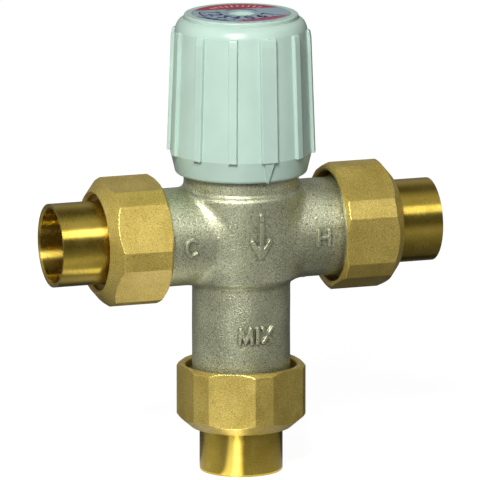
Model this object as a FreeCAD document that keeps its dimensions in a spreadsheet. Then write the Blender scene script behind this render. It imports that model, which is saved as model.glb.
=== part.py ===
"""Thermostatic mixing valve with three union sockets for 3/4 in copper tube.

Millimetres. The part's origin is the centre of the mixed outlet's open end, +Z runs up the
barrel to the knob, +X to the hot inlet, -X to the cold inlet and -Y to the front.
Pieces of the barrel are drawn about the point where the inlet axis crosses the barrel's axis,
and pieces of a union about its open end, with local +Z running inward to the valve.
"""
import FreeCAD, Part
import os
import re
import Sketcher

SIZES = [
    # Layout
    ("arm_reach", 60.0, "barrel axis to an inlet's open end"),
    ("mix_drop", 72.5, "inlet axis to the outlet's open end"),
    # Tailpiece with its solder socket
    ("socket_radius", 11.165, "bore that takes the tube"),
    ("socket_depth", 19.05, "how far the tube goes in"),
    ("tail_wall", 1.335, "wall of the socket"),
    ("tube_stop", 0.965, "step that stops the tube"),
    ("tail_length", 21.0, "open end to sealing face"),
    ("flange_radius", 14.9, "flange that the nut pulls on"),
    ("flange_thick", 2.5, "flange along the axis"),
    ("mouth_chamfer", 0.4, "lead-in at the socket's mouth"),
    # Gasket
    ("gasket_thick", 1.5, "union gasket along the axis"),
    ("gasket_trim", 0.3, "gasket inside the flange's edge"),
    # Union nut
    ("tail_show", 13.4, "tailpiece outside the nut"),
    ("nut_length", 19.2, "nut along the axis"),
    ("nut_flat_wall", 1.45, "thread's crest to a wide flat"),
    ("nut_corner_wall", 2.8, "thread's crest to a corner"),
    ("nut_cone", 3.6, "depth of the outer cone"),
    ("nut_face", 15.2, "outer edge of the mouth"),
    ("nut_mouth", 14.4, "counterbore round the tailpiece"),
    ("nut_mouth_lead", 1.0, "depth of the mouth's chamfer"),
    ("nut_shoulder", 2.5, "thickness of the inner shoulder"),
    ("nut_hole_gap", 0.3, "shoulder's hole round the tailpiece"),
    ("nut_seat_gap", 0.2, "shoulder to flange"),
    ("nut_end_chamfer", 1.2, "inner end's outer chamfer, radial"),
    ("nut_end_bevel", 0.95, "inner end's outer chamfer, axial"),
    ("nut_lead", 0.6, "chamfer into the thread"),
    ("nut_edge_round", 0.5, "forged edges between the flats"),
    ("thread_gap", 0.1, "nut's thread to the body's thread"),
    ("cold_nut_turn", 8.8, "degrees of the cold nut at rest"),
    ("hot_nut_turn", 24.4, "degrees of the hot nut at rest"),
    ("mix_nut_turn", 2.0, "degrees of the mix nut at rest"),
    # Body, outside
    ("stub_radius", 16.6, "union thread's crest"),
    ("stub_length", 8.5, "union thread along the axis"),
    ("stub_chamfer", 0.8, "thread's lead-in"),
    ("arm_radius", 14.75, "inlet arms"),
    ("neck_radius", 14.75, "outlet neck"),
    ("barrel_below", 13.8, "barrel under the inlet axis"),
    ("barrel_above", 13.9, "barrel over the inlet axis"),
    ("barrel_low_radius", 17.5, "barrel at its lower edge"),
    ("barrel_top_radius", 18.6, "barrel at its upper edge"),
    ("barrel_low_round", 1.6, "lower edge of the barrel"),
    ("barrel_top_round", 0.9, "upper edge of the barrel"),
    ("collar_radius", 17.25, "collar under the bonnet"),
    ("body_top", 24.0, "collar's face over the inlet axis"),
    ("neck_blend", 0.9, "cast blend under the barrel"),
    ("arm_blend", 1.2, "cast blend where the arms join"),
    # Body, inside
    ("port_bore", 11.3, "bore of each port"),
    ("arm_bore_end", 16.5, "barrel axis to the end of an arm's bore"),
    ("bonnet_bore", 14.0, "thread for the bonnet"),
    ("bonnet_engage", 12.0, "length of that thread"),
    ("chamber_radius", 13.2, "cold and hot chambers"),
    ("land_half", 4.5, "half the land between the chambers"),
    ("land_radius", 10.55, "bore that the shuttle slides in"),
    ("hot_floor", 11.0, "hot chamber's floor under the inlet axis"),
    ("hot_seat_top", 8.0, "hot seat under the inlet axis"),
    ("seat_outer", 10.4, "outer edge of both seats"),
    ("throat_radius", 9.0, "bore round the element"),
    ("ledge_depth", 22.0, "spring seat's ledge under the inlet axis"),
    ("ledge_radius", 8.0, "hole through the ledge"),
    ("ledge_end", 26.0, "ledge's underside under the inlet axis"),
    ("passage_near", 4.7, "inlet axis to a passage's inner side"),
    ("passage_far", 9.5, "inlet axis to a passage's outer side"),
    ("passage_half", 7.0, "half the width of a passage"),
    # Bonnet
    ("bonnet_gap", 0.05, "bonnet's thread to the body's"),
    ("bonnet_gasket_thick", 0.8, "flat gasket under the bonnet"),
    ("bonnet_flange", 16.5, "bonnet's flange"),
    ("bonnet_flange_thick", 4.0, "bonnet's flange along the axis"),
    ("bonnet_flats", 30.0, "across the flange's flats"),
    ("tower_radius", 10.0, "bonnet's tower"),
    ("tower_top", 46.0, "tower's face over the inlet axis"),
    ("tower_chamfer", 0.8, "edge of the tower"),
    ("cold_seat", 6.2, "cold seat over the inlet axis"),
    ("cold_seat_inner", 8.2, "inner edge of the cold seat"),
    ("guide_flats", 12.2, "across the regulating nut's guide"),
    ("guide_top", 36.0, "stem collar's underside over the inlet axis"),
    # Stem
    ("stem_radius", 4.5, "stem in the bonnet"),
    ("stem_gap", 0.05, "stem to bonnet"),
    ("stem_collar", 5.9, "collar that holds the stem down"),
    ("stem_collar_thick", 2.0, "collar along the axis"),
    ("stem_thread", 4.0, "left-hand thread on the stem"),
    ("stem_thread_length", 14.0, "thread below the collar"),
    ("stem_square", 6.0, "across the knob's square"),
    ("stem_square_rise", 2.0, "tower's face to the stem's square"),
    ("stem_square_length", 10.0, "square along the axis"),
    ("oring_section", 0.5, "section radius of the stem's rings"),
    ("oring_first", 41.0, "lower ring over the inlet axis"),
    ("oring_step", 2.6, "from one ring to the next"),
    ("groove_play", 0.1, "ring to groove"),
    ("clip_gap", 0.15, "bonnet's face to the circlip"),
    ("clip_thick", 0.8, "circlip along the axis"),
    ("clip_inner", 3.9, "groove of the circlip"),
    ("clip_outer", 6.2, "circlip's rim"),
    ("clip_opening", 3.4, "gap between the circlip's ends"),
    # Regulating nut and element
    ("carrier_play", 0.12, "regulating nut to its guide"),
    ("carrier_top", 32.0, "regulating nut's face over the inlet axis"),
    ("carrier_bottom", 8.0, "its lower face over the inlet axis"),
    ("carrier_nose", 4.2, "its nose round the piston"),
    ("carrier_nose_length", 6.0, "nose along the axis"),
    ("carrier_tap_end", 17.0, "end of its thread over the inlet axis"),
    ("piston_radius", 2.0, "element's piston"),
    ("piston_gap", 0.05, "piston to its bores"),
    ("piston_seat", 2.5, "piston inside the nose"),
    ("piston_length", 16.5, "piston along the axis"),
    ("guide_stem", 4.0, "element's neck"),
    ("guide_stem_top", 5.0, "element's neck over the inlet axis"),
    ("element_flange", 7.2, "element's flange"),
    ("element_flange_top", -1.0, "flange's face over the inlet axis"),
    ("element_flange_thick", 2.0, "flange along the axis"),
    ("bulb_radius", 5.3, "wax cup"),
    ("bulb_bottom", 16.0, "wax cup's end under the inlet axis"),
    ("bulb_round", 1.5, "edge of the wax cup"),
    ("piston_bore_end", 10.0, "end of the piston's bore under the inlet axis"),
    # Shuttle
    ("seat_gap", 0.1, "shuttle to a closed seat"),
    ("shuttle_gap", 0.05, "shuttle to its land"),
    ("shuttle_wall", 2.1, "shuttle's rim"),
    ("hub_radius", 6.6, "shuttle's hub"),
    ("hub_thick", 2.6, "hub along the axis"),
    ("hub_gap", 0.05, "hub to the element's neck"),
    ("spoke_width", 1.8, "each of the hub's four spokes"),
    ("shuttle_ring_section", 0.45, "section radius of the shuttle's ring"),
    # Return spring and its seat
    ("spring_wire", 1.3, "square section of the wire"),
    ("spring_radius", 6.45, "middle of the coil"),
    ("spring_turns", 5.0, "turns of the coil"),
    ("spring_play", 0.1, "coil to what holds it"),
    ("seat_disc_thick", 1.4, "spring seat along the axis"),
    ("seat_disc_gap", 0.1, "spring seat to its bore"),
    ("seat_disc_hole", 2.6, "middle hole of the spring seat"),
    ("seat_disc_port", 1.7, "each of its six ports"),
    ("seat_disc_ring", 5.5, "radius of the ports' centres"),
    # Knob
    ("knob_turn", -86.2, "degrees of the pointer at rest, from +X"),
    ("knob_bottom", 18.45, "skirt's edge over the inlet axis"),
    ("skirt_radius", 19.65, "skirt at its edge"),
    ("skirt_round", 1.2, "edge of the skirt"),
    ("knob_waist", 25.0, "top of the skirt over the inlet axis"),
    ("knob_wide", 21.2, "wall at its foot"),
    ("knob_narrow", 19.78, "wall at its head"),
    ("knob_shoulder", 65.45, "shoulder's face over the inlet axis"),
    ("shoulder_drop", 3.1, "shoulder's face to the wall's head"),
    ("shoulder_step", 0.85, "wall's head in to the shoulder's bend"),
    ("shoulder_fall", 0.95, "shoulder's face to its bend"),
    ("shoulder_round", 3.4, "both bends of the shoulder"),
    ("rim_outer", 17.1, "raised rim at its foot"),
    ("rim_sink", 0.3, "crease round the rim"),
    ("rim_height", 1.2, "rim over the shoulder"),
    ("rim_bevel", 0.35, "rim's outer bevel"),
    ("disc_radius", 14.6, "dial disc"),
    ("disc_gap", 0.15, "dial disc to the rim"),
    ("disc_thick", 0.5, "dial disc along the axis"),
    ("disc_proud", 0.15, "dial disc over the rim's face"),
    ("screw_well", 4.25, "well of the knob's screw"),
    ("rib_foot", 22.3, "rib's crest at its foot"),
    ("rib_head", 21.0, "rib's crest at its head"),
    ("rib_top", 62.1, "rib's head over the inlet axis"),
    ("rib_head_fall", 2.4, "crest's end to the rib's head"),
    ("rib_head_inset", 0.4, "rib's head inside its crest"),
    ("rib_head_round", 0.6, "edge of the rib's head"),
    ("rib_width", 2.7, "each narrow rib"),
    ("rib_round", 0.3, "long edges of the ribs"),
    ("grip_width", 5.1, "the wide rib over the pointer"),
    ("rib_count", 12.0, "ribs round the knob"),
    ("pointer_width", 3.2, "pointer at its head"),
    ("pointer_tip", 0.3, "pointer at its tip"),
    ("pointer_proud", 0.75, "pointer over the skirt"),
    ("collar_clear", 0.35, "skirt to collar"),
    ("knob_roof", 4.6, "roof under the shoulder"),
    ("boss_radius", 7.6, "boss on the stem"),
    ("boss_clear", 1.2, "circlip to boss"),
    ("square_gap", 0.1, "boss to the stem's square"),
    ("web_thick", 1.6, "each of the boss's webs"),
    ("web_depth", 7.0, "webs under the roof"),
    # Knob screw
    ("screw_head", 3.8, "head of the knob's screw"),
    ("screw_head_thick", 2.4, "head along the axis"),
    ("screw_shank", 2.0, "shank of the knob's screw"),
    ("screw_length", 8.5, "shank along the axis"),
    ("screw_floor", 1.2, "roof over the stem's end"),
    ("screw_gap", 0.1, "shank to its holes"),
    ("recess_length", 4.6, "each arm of the cross recess"),
    ("recess_width", 0.9, "width of the cross recess"),
    ("recess_depth", 1.4, "depth of the cross recess"),
]

NAMES = [name for name, value, note in SIZES]
TURN = 360
HALF_TURN = 180

os.makedirs("parts", exist_ok=True)
document = FreeCAD.newDocument("MixingValve")
sheet = document.addObject("Spreadsheet::Sheet", "Dimensions")
for row, (name, value, note) in enumerate(SIZES, start=1):
    sheet.set(f"A{row}", note)
    sheet.set(f"B{row}", str(value))
    sheet.setAlias(f"B{row}", name)
document.recompute()

pieces = []


def bound(text):
    """Expression text with each size's name pointing at the sheet."""
    def point(word):
        return "Dimensions." + word.group() if word.group() in NAMES else word.group()
    return re.sub(r"[a-z]\w*", point, text)


def amount(text):
    """Number that an expression over the sheet gives now."""
    return float(sheet.evalExpression(bound(text)))


def new_body(label, rise="0"):
    """Empty body about the barrel's axis, lifted by an expression."""
    body = document.addObject("PartDesign::Body", label)
    body.Label = label
    if rise != "0":
        body.setExpression(".Placement.Base.z", bound(rise))
    pieces.append(body)
    return body


def new_sketch(body, name, role, lift="0"):
    """Sketch on one of the body's own origin planes, lifted off it by an expression."""
    plane = [item for item in body.Origin.OriginFeatures if item.Role == role][0]
    sketch = body.newObject("Sketcher::SketchObject", body.Label + "_" + name)
    sketch.AttachmentSupport = (plane, "")
    sketch.MapMode = "FlatFace"
    if lift != "0":
        sketch.setExpression(".AttachmentOffset.Base.z", bound(lift))
    return sketch


def outline(sketch, corners):
    """Closed polygon through corners, each a pair of expressions; "0" puts it on an axis."""
    first = sketch.GeometryCount
    spots = [FreeCAD.Vector(amount(across), amount(up), 0) for across, up in corners]
    for index, spot in enumerate(spots):
        sketch.addGeometry(Part.LineSegment(spot, spots[(index + 1) % len(spots)]))
    for index in range(len(spots)):
        follower = first + (index + 1) % len(spots)
        sketch.addConstraint(Sketcher.Constraint("Coincident", first + index, 2, follower, 1))
    for index, (across, up) in enumerate(corners):
        pin(sketch, first + index, 1, across, up)


def pin(sketch, geometry, point, across, up):
    """Holds a sketch point at two expressions from the origin."""
    for kind, axis, text in (("DistanceX", -2, across), ("DistanceY", -1, up)):
        if text == "0":
            sketch.addConstraint(Sketcher.Constraint("PointOnObject", geometry, point, axis))
            continue
        hold = Sketcher.Constraint(kind, -1, 1, geometry, point, amount(text))
        number = sketch.addConstraint(hold)
        sketch.setExpression(f"Constraints[{number}]", bound(text))


def circle(sketch, radius, across="0", up="0"):
    """Circle with its centre and radius held by expressions."""
    middle = FreeCAD.Vector(amount(across), amount(up), 0)
    geometry = sketch.addGeometry(Part.Circle(middle, FreeCAD.Vector(0, 0, 1), amount(radius)))
    pin(sketch, geometry, 3, across, up)
    number = sketch.addConstraint(Sketcher.Constraint("Radius", geometry, amount(radius)))
    sketch.setExpression(f"Constraints[{number}]", bound(radius))


def rectangle(sketch, left, right, low, high):
    outline(sketch, [(left, low), (right, low), (right, high), (left, high)])


def turned(body, name, corners, kind="Revolution", axis="V_Axis"):
    """Profile in the XZ plane turned about its axis, adding or cutting."""
    sketch = new_sketch(body, name + "_profile", "XZ_Plane")
    outline(sketch, corners)
    feature = body.newObject("PartDesign::" + kind, body.Label + "_" + name)
    feature.Profile = sketch
    feature.ReferenceAxis = (sketch, [axis])
    feature.Angle = TURN
    document.recompute()
    return feature


def extruded(body, name, sketch, length, kind="Pad", midplane=False, backward=False):
    """Pad or pocket of a sketch over an expression's length."""
    feature = body.newObject("PartDesign::" + kind, body.Label + "_" + name)
    feature.Profile = sketch
    feature.setExpression("Length", bound(length))
    feature.Midplane = midplane
    feature.Reversed = backward
    document.recompute()
    return feature


def around(body, name, feature, count):
    """Copies of a feature round the body's Z axis."""
    axis = [item for item in body.Origin.OriginFeatures if item.Role == "Z_Axis"][0]
    pattern = body.newObject("PartDesign::PolarPattern", body.Label + "_" + name)
    pattern.Originals = [feature]
    pattern.Axis = (axis, [""])
    pattern.Angle = TURN
    pattern.setExpression("Occurrences", bound(count))
    body.Tip = pattern
    document.recompute()
    return pattern


def rounded(body, name, feature, radius, chosen, kind="Fillet"):
    """Fillet or chamfer on the edges of a feature that a test chooses."""
    edges = feature.Shape.Edges
    names = [f"Edge{number}" for number, edge in enumerate(edges, start=1) if chosen(edge)]
    rounding = body.newObject("PartDesign::" + kind, body.Label + "_" + name)
    rounding.Base = (feature, names)
    rounding.setExpression("Radius" if kind == "Fillet" else "Size", bound(radius))
    document.recompute()
    return rounding


def is_ring(edge, radius, height):
    """Whether an edge is the full circle of a radius at a height about the Z axis."""
    if not isinstance(edge.Curve, Part.Circle) or not edge.Closed:
        return False
    return abs(edge.Curve.Radius - amount(radius)) < 0.01 and abs(edge.Curve.Center.z - amount(height)) < 0.01


# ---------------------------------------------------------------------------------------------
# Valve body: a forged brass barrel with two arms and a neck, bored for the mechanism.

END_FACE = "(mix_drop - tail_length - gasket_thick)"
ARM_FACE = "(arm_reach - tail_length - gasket_thick)"

valve_body = new_body("valve_body", "mix_drop")
barrel = turned(valve_body, "barrel", [
    ("0", "-" + END_FACE),
    ("stub_radius - stub_chamfer", "-" + END_FACE),
    ("stub_radius", "stub_chamfer - " + END_FACE),
    ("stub_radius", "stub_length - " + END_FACE),
    ("neck_radius", "stub_length - " + END_FACE),
    ("neck_radius", "-barrel_below"),
    ("barrel_low_radius", "-barrel_below"),
    ("barrel_top_radius", "barrel_above"),
    ("collar_radius", "barrel_above"),
    ("collar_radius", "body_top"),
    ("0", "body_top"),
])
low = rounded(valve_body, "low_edge", barrel, "barrel_low_round",
              lambda edge: is_ring(edge, "barrel_low_radius", "-barrel_below"))
top = rounded(valve_body, "top_edge", low, "barrel_top_round",
              lambda edge: is_ring(edge, "barrel_top_radius", "barrel_above"))
foot = rounded(valve_body, "neck_edge", top, "neck_blend",
               lambda edge: is_ring(edge, "neck_radius", "-barrel_below"))
arms = turned(valve_body, "arms", [
    ("-" + ARM_FACE, "0"),
    ("-" + ARM_FACE, "stub_radius - stub_chamfer"),
    ("stub_chamfer - " + ARM_FACE, "stub_radius"),
    ("stub_length - " + ARM_FACE, "stub_radius"),
    ("stub_length - " + ARM_FACE, "arm_radius"),
    (ARM_FACE + " - stub_length", "arm_radius"),
    (ARM_FACE + " - stub_length", "stub_radius"),
    (ARM_FACE + " - stub_chamfer", "stub_radius"),
    (ARM_FACE, "stub_radius - stub_chamfer"),
    (ARM_FACE, "0"),
], axis="H_Axis")


def is_collar_joint(edge):
    """Whether an edge is where an arm's top meets the collar."""
    box = edge.BoundBox
    near = max(abs(box.XMin), abs(box.XMax)) < amount("barrel_top_radius")
    high = box.ZMin > amount("barrel_above - 0.1") and box.ZMax > amount("arm_radius - 0.1")
    return near and high and not edge.Closed


rounded(valve_body, "arm_blend", arms, "arm_blend", is_collar_joint)

turned(valve_body, "bores", [
    ("0", "-" + END_FACE + " - 1"),
    ("port_bore", "-" + END_FACE + " - 1"),
    ("port_bore", "-ledge_end"),
    ("ledge_radius", "-ledge_end"),
    ("ledge_radius", "-ledge_depth"),
    ("throat_radius", "-ledge_depth"),
    ("throat_radius", "-hot_seat_top"),
    ("seat_outer", "-hot_seat_top"),
    ("seat_outer", "-hot_floor"),
    ("chamber_radius", "-hot_floor"),
    ("chamber_radius", "-land_half"),
    ("land_radius", "-land_half"),
    ("land_radius", "land_half"),
    ("chamber_radius", "land_half"),
    ("chamber_radius", "body_top - bonnet_engage"),
    ("bonnet_bore", "body_top - bonnet_engage"),
    ("bonnet_bore", "body_top + 1"),
    ("0", "body_top + 1"),
], kind="Groove")
turned(valve_body, "cold_bore", [
    ("-" + ARM_FACE + " - 1", "0"),
    ("-" + ARM_FACE + " - 1", "port_bore"),
    ("-arm_bore_end", "port_bore"),
    ("-arm_bore_end", "0"),
], kind="Groove", axis="H_Axis")
turned(valve_body, "hot_bore", [
    (ARM_FACE + " + 1", "0"),
    (ARM_FACE + " + 1", "port_bore"),
    ("arm_bore_end", "port_bore"),
    ("arm_bore_end", "0"),
], kind="Groove", axis="H_Axis")

cold_way = new_sketch(valve_body, "cold_way_profile", "YZ_Plane")
rectangle(cold_way, "-passage_half", "passage_half", "passage_near", "passage_far")
extruded(valve_body, "cold_way", cold_way, "arm_bore_end + 1", kind="Pocket")
hot_way = new_sketch(valve_body, "hot_way_profile", "YZ_Plane")
rectangle(hot_way, "-passage_half", "passage_half", "-passage_far", "-passage_near")
extruded(valve_body, "hot_way", hot_way, "arm_bore_end + 1", kind="Pocket", backward=True)

# ---------------------------------------------------------------------------------------------
# Return spring and the perforated disc that it stands on, in the outlet's throat.

spring_seat = new_body("spring_seat", "mix_drop - ledge_depth")
turned(spring_seat, "disc", [
    ("seat_disc_hole", "0"),
    ("throat_radius - seat_disc_gap", "0"),
    ("throat_radius - seat_disc_gap", "seat_disc_thick"),
    ("seat_disc_hole", "seat_disc_thick"),
])
port = new_sketch(spring_seat, "port_profile", "XY_Plane")
circle(port, "seat_disc_port", across="seat_disc_ring")
hole = extruded(spring_seat, "port", port, "seat_disc_thick", kind="Pocket", backward=True)
around(spring_seat, "ports", hole, "6")

SPRING_FOOT = "(seat_disc_thick - ledge_depth + spring_play)"
SPRING_HEAD = "(element_flange_top - element_flange_thick - spring_play)"
return_spring = new_body("return_spring", "mix_drop")
coil_section = new_sketch(return_spring, "wire_profile", "XZ_Plane")
rectangle(coil_section, "spring_radius - spring_wire / 2", "spring_radius + spring_wire / 2",
          SPRING_FOOT, SPRING_FOOT + " + spring_wire")
coil = return_spring.newObject("PartDesign::AdditiveHelix", "return_spring_coil")
coil.Profile = coil_section
coil.ReferenceAxis = (coil_section, ["V_Axis"])
coil.Mode = "height-turns-angle"
coil.setExpression("Height", bound(SPRING_HEAD + " - " + SPRING_FOOT + " - spring_wire"))
coil.setExpression("Turns", bound("spring_turns"))
document.recompute()

# ---------------------------------------------------------------------------------------------
# Shuttle: the rim that slides on the land and shuts one seat as it opens the other.

RIM_HALF = "(cold_seat - seat_gap)"
SHUTTLE_RADIUS = "(land_radius - shuttle_gap)"
RING_CENTRE = "(shuttle_ring_section + shuttle_gap)"
mixing_shuttle = new_body("mixing_shuttle", "mix_drop")
turned(mixing_shuttle, "rim", [
    (SHUTTLE_RADIUS + " - shuttle_wall", "-" + RIM_HALF),
    (SHUTTLE_RADIUS, "-" + RIM_HALF),
    (SHUTTLE_RADIUS, "-shuttle_ring_section - groove_play"),
    ("land_radius - 2 * " + RING_CENTRE + " - groove_play", "-shuttle_ring_section - groove_play"),
    ("land_radius - 2 * " + RING_CENTRE + " - groove_play", "shuttle_ring_section + groove_play"),
    (SHUTTLE_RADIUS, "shuttle_ring_section + groove_play"),
    (SHUTTLE_RADIUS, RIM_HALF),
    (SHUTTLE_RADIUS + " - shuttle_wall", RIM_HALF),
])
spoke_plan = new_sketch(mixing_shuttle, "spoke_profile", "XY_Plane", "element_flange_top")
rectangle(spoke_plan, "guide_stem + hub_gap", SHUTTLE_RADIUS + " - shuttle_wall / 2",
          "-spoke_width / 2", "spoke_width / 2")
spoke = extruded(mixing_shuttle, "spoke", spoke_plan, "hub_thick")
around(mixing_shuttle, "spokes", spoke, "4")
turned(mixing_shuttle, "hub", [
    ("guide_stem + hub_gap", "element_flange_top"),
    ("hub_radius", "element_flange_top"),
    ("hub_radius", "element_flange_top + hub_thick"),
    ("guide_stem + hub_gap", "element_flange_top + hub_thick"),
])
turned(mixing_shuttle, "hub_bore", [
    ("0", "element_flange_top - 1"),
    ("guide_stem + hub_gap", "element_flange_top - 1"),
    ("guide_stem + hub_gap", "element_flange_top + hub_thick + 1"),
    ("0", "element_flange_top + hub_thick + 1"),
], kind="Groove")


def ring_seal(label, centre, section, height):
    """O-ring about the barrel's axis, from expressions for its sizes and height."""
    ring = document.addObject("Part::Torus", label)
    ring.Label = label
    ring.setExpression("Radius1", bound(centre))
    ring.setExpression("Radius2", bound(section))
    ring.setExpression(".Placement.Base.z", bound("mix_drop + " + height))
    pieces.append(ring)


ring_seal("shuttle_oring", "land_radius - " + RING_CENTRE, "shuttle_ring_section", "0")

# ---------------------------------------------------------------------------------------------
# Wax element and its piston.

wax_element = new_body("wax_element", "mix_drop")
wax_shell = turned(wax_element, "shell", [
    ("0", "-bulb_bottom"),
    ("bulb_radius", "-bulb_bottom"),
    ("bulb_radius", "element_flange_top - element_flange_thick"),
    ("element_flange", "element_flange_top - element_flange_thick"),
    ("element_flange", "element_flange_top"),
    ("guide_stem", "element_flange_top"),
    ("guide_stem", "guide_stem_top"),
    ("piston_radius + piston_gap", "guide_stem_top"),
    ("piston_radius + piston_gap", "-piston_bore_end"),
    ("0", "-piston_bore_end"),
])
rounded(wax_element, "cup_edge", wax_shell, "bulb_round",
        lambda edge: is_ring(edge, "bulb_radius", "-bulb_bottom"))

element_piston = new_body("element_piston", "mix_drop + carrier_bottom + piston_seat - piston_length")
turned(element_piston, "pin", [
    ("0", "0"),
    ("piston_radius", "0"),
    ("piston_radius", "piston_length"),
    ("0", "piston_length"),
])

# ---------------------------------------------------------------------------------------------
# Regulating nut: rides up and down in the bonnet's flats on the stem's left-hand thread.

def hexagon(half_flats):
    """Corners of a regular hexagon, from an expression for half its width across flats."""
    return [(f"({half_flats}) / cos(30) * cos({angle})", f"({half_flats}) / cos(30) * sin({angle})")
            for angle in range(30, TURN + 30, 60)]


regulating_nut = new_body("regulating_nut", "mix_drop")
turned(regulating_nut, "nose", [
    ("0", "carrier_bottom"),
    ("carrier_nose", "carrier_bottom"),
    ("carrier_nose", "carrier_bottom + carrier_nose_length"),
    ("0", "carrier_bottom + carrier_nose_length"),
])
nut_plan = new_sketch(regulating_nut, "hexagon_profile", "XY_Plane",
                      "carrier_bottom + carrier_nose_length")
outline(nut_plan, hexagon("guide_flats / 2 - carrier_play"))
extruded(regulating_nut, "hexagon", nut_plan, "carrier_top - carrier_bottom - carrier_nose_length")
turned(regulating_nut, "tapped", [
    ("0", "carrier_tap_end"),
    ("stem_thread + stem_gap", "carrier_tap_end"),
    ("stem_thread + stem_gap", "carrier_top + 1"),
    ("0", "carrier_top + 1"),
], kind="Groove")
turned(regulating_nut, "piston_hole", [
    ("0", "carrier_bottom - 1"),
    ("piston_radius + piston_gap", "carrier_bottom - 1"),
    ("piston_radius + piston_gap", "carrier_bottom + piston_seat"),
    ("0", "carrier_bottom + piston_seat"),
], kind="Groove")

# ---------------------------------------------------------------------------------------------
# Bonnet with its flat gasket: closes the barrel, carries the cold seat and the stem.

BONNET_FACE = "(body_top + bonnet_gasket_thick)"
bonnet_gasket = new_body("bonnet_gasket", "mix_drop + body_top")
turned(bonnet_gasket, "ring", [
    ("bonnet_bore", "0"),
    ("bonnet_flange", "0"),
    ("bonnet_flange", "bonnet_gasket_thick"),
    ("bonnet_bore", "bonnet_gasket_thick"),
])

bonnet = new_body("bonnet", "mix_drop")
turned(bonnet, "blank", [
    ("0", "cold_seat"),
    ("seat_outer", "cold_seat"),
    ("seat_outer", "body_top - bonnet_engage"),
    ("bonnet_bore - bonnet_gap", "body_top - bonnet_engage"),
    ("bonnet_bore - bonnet_gap", BONNET_FACE),
    ("bonnet_flange", BONNET_FACE),
    ("bonnet_flange", BONNET_FACE + " + bonnet_flange_thick"),
    ("tower_radius", BONNET_FACE + " + bonnet_flange_thick"),
    ("tower_radius", "tower_top - tower_chamfer"),
    ("tower_radius - tower_chamfer", "tower_top"),
    ("0", "tower_top"),
])
turned(bonnet, "stem_bore", [
    ("0", "guide_top"),
    ("stem_radius + stem_gap", "guide_top"),
    ("stem_radius + stem_gap", "tower_top + 1"),
    ("0", "tower_top + 1"),
], kind="Groove")
turned(bonnet, "seat_bore", [
    ("0", "cold_seat - 1"),
    ("cold_seat_inner", "cold_seat - 1"),
    ("cold_seat_inner", "body_top - bonnet_engage"),
    ("0", "body_top - bonnet_engage"),
], kind="Groove")
guide_plan = new_sketch(bonnet, "guide_profile", "XY_Plane", "body_top - bonnet_engage")
outline(guide_plan, hexagon("guide_flats / 2"))
extruded(bonnet, "guide", guide_plan, "guide_top - body_top + bonnet_engage", kind="Pocket",
         backward=True)
flat_near = "bonnet_flats / 2"
for side, left, right in (("front", "-bonnet_flange - 1", "-" + flat_near),
                          ("back", flat_near, "bonnet_flange + 1")):
    flat = new_sketch(bonnet, side + "_flat_profile", "XY_Plane", BONNET_FACE)
    rectangle(flat, "-bonnet_flange - 1", "bonnet_flange + 1", left, right)
    extruded(bonnet, side + "_flat", flat, "bonnet_flange_thick", kind="Pocket", backward=True)

# ---------------------------------------------------------------------------------------------
# Stem with its two O-rings and circlip. It turns with the knob and doesn't rise.

SQUARE_FOOT = "(tower_top + stem_square_rise)"
SQUARE_TOP = "(" + SQUARE_FOOT + " + stem_square_length)"
CLIP_FOOT = "(tower_top + clip_gap)"
RING_GROOVE = "(stem_radius - 2 * oring_section - groove_play)"


def ring_groove(height):
    """Outline of an O-ring's groove in the stem at a height."""
    low = height + " - oring_section - groove_play"
    high = height + " + oring_section + groove_play"
    return [(RING_GROOVE, low), ("stem_radius + 1", low), ("stem_radius + 1", high), (RING_GROOVE, high)]


stem = new_body("stem", "mix_drop")
stem.setExpression(".Placement.Rotation.Angle", bound("knob_turn"))
turned(stem, "bar", [
    ("0", "guide_top - stem_collar_thick - stem_thread_length"),
    ("stem_thread", "guide_top - stem_collar_thick - stem_thread_length"),
    ("stem_thread", "guide_top - stem_collar_thick"),
    ("stem_collar", "guide_top - stem_collar_thick"),
    ("stem_collar", "guide_top"),
    ("stem_radius", "guide_top"),
    ("stem_radius", CLIP_FOOT),
    ("clip_inner", CLIP_FOOT),
    ("clip_inner", CLIP_FOOT + " + clip_thick + groove_play"),
    ("stem_radius", CLIP_FOOT + " + clip_thick + groove_play"),
    ("stem_radius", SQUARE_FOOT),
    ("0", SQUARE_FOOT),
])
turned(stem, "lower_groove", ring_groove("oring_first"), kind="Groove")
turned(stem, "upper_groove", ring_groove("(oring_first + oring_step)"), kind="Groove")
square_plan = new_sketch(stem, "square_profile", "XY_Plane", SQUARE_FOOT)
rectangle(square_plan, "-stem_square / 2", "stem_square / 2", "-stem_square / 2", "stem_square / 2")
extruded(stem, "square", square_plan, "stem_square_length")
turned(stem, "screw_hole", [
    ("0", SQUARE_TOP + " + screw_floor - screw_length - 1"),
    ("screw_shank + screw_gap", SQUARE_TOP + " + screw_floor - screw_length - 1"),
    ("screw_shank + screw_gap", SQUARE_TOP + " + 1"),
    ("0", SQUARE_TOP + " + 1"),
], kind="Groove")

RING_MIDDLE = "stem_radius - oring_section - groove_play / 2"
ring_seal("stem_oring_lower", RING_MIDDLE, "oring_section", "oring_first")
ring_seal("stem_oring_upper", RING_MIDDLE, "oring_section", "oring_first + oring_step")

stem_circlip = new_body("stem_circlip", "mix_drop + " + CLIP_FOOT)
stem_circlip.setExpression(".Placement.Rotation.Angle", bound("knob_turn"))
turned(stem_circlip, "ring", [
    ("clip_inner + groove_play / 2", "0"),
    ("clip_outer", "0"),
    ("clip_outer", "clip_thick"),
    ("clip_inner + groove_play / 2", "clip_thick"),
])
opening = new_sketch(stem_circlip, "opening_profile", "XY_Plane")
rectangle(opening, "0", "clip_outer + 1", "-clip_opening / 2", "clip_opening / 2")
extruded(stem_circlip, "opening", opening, "clip_thick", kind="Pocket", backward=True)

# ---------------------------------------------------------------------------------------------
# Knob: a moulded cap with ribs, a wide grip rib over the pointer, and a boss on the square.

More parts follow.
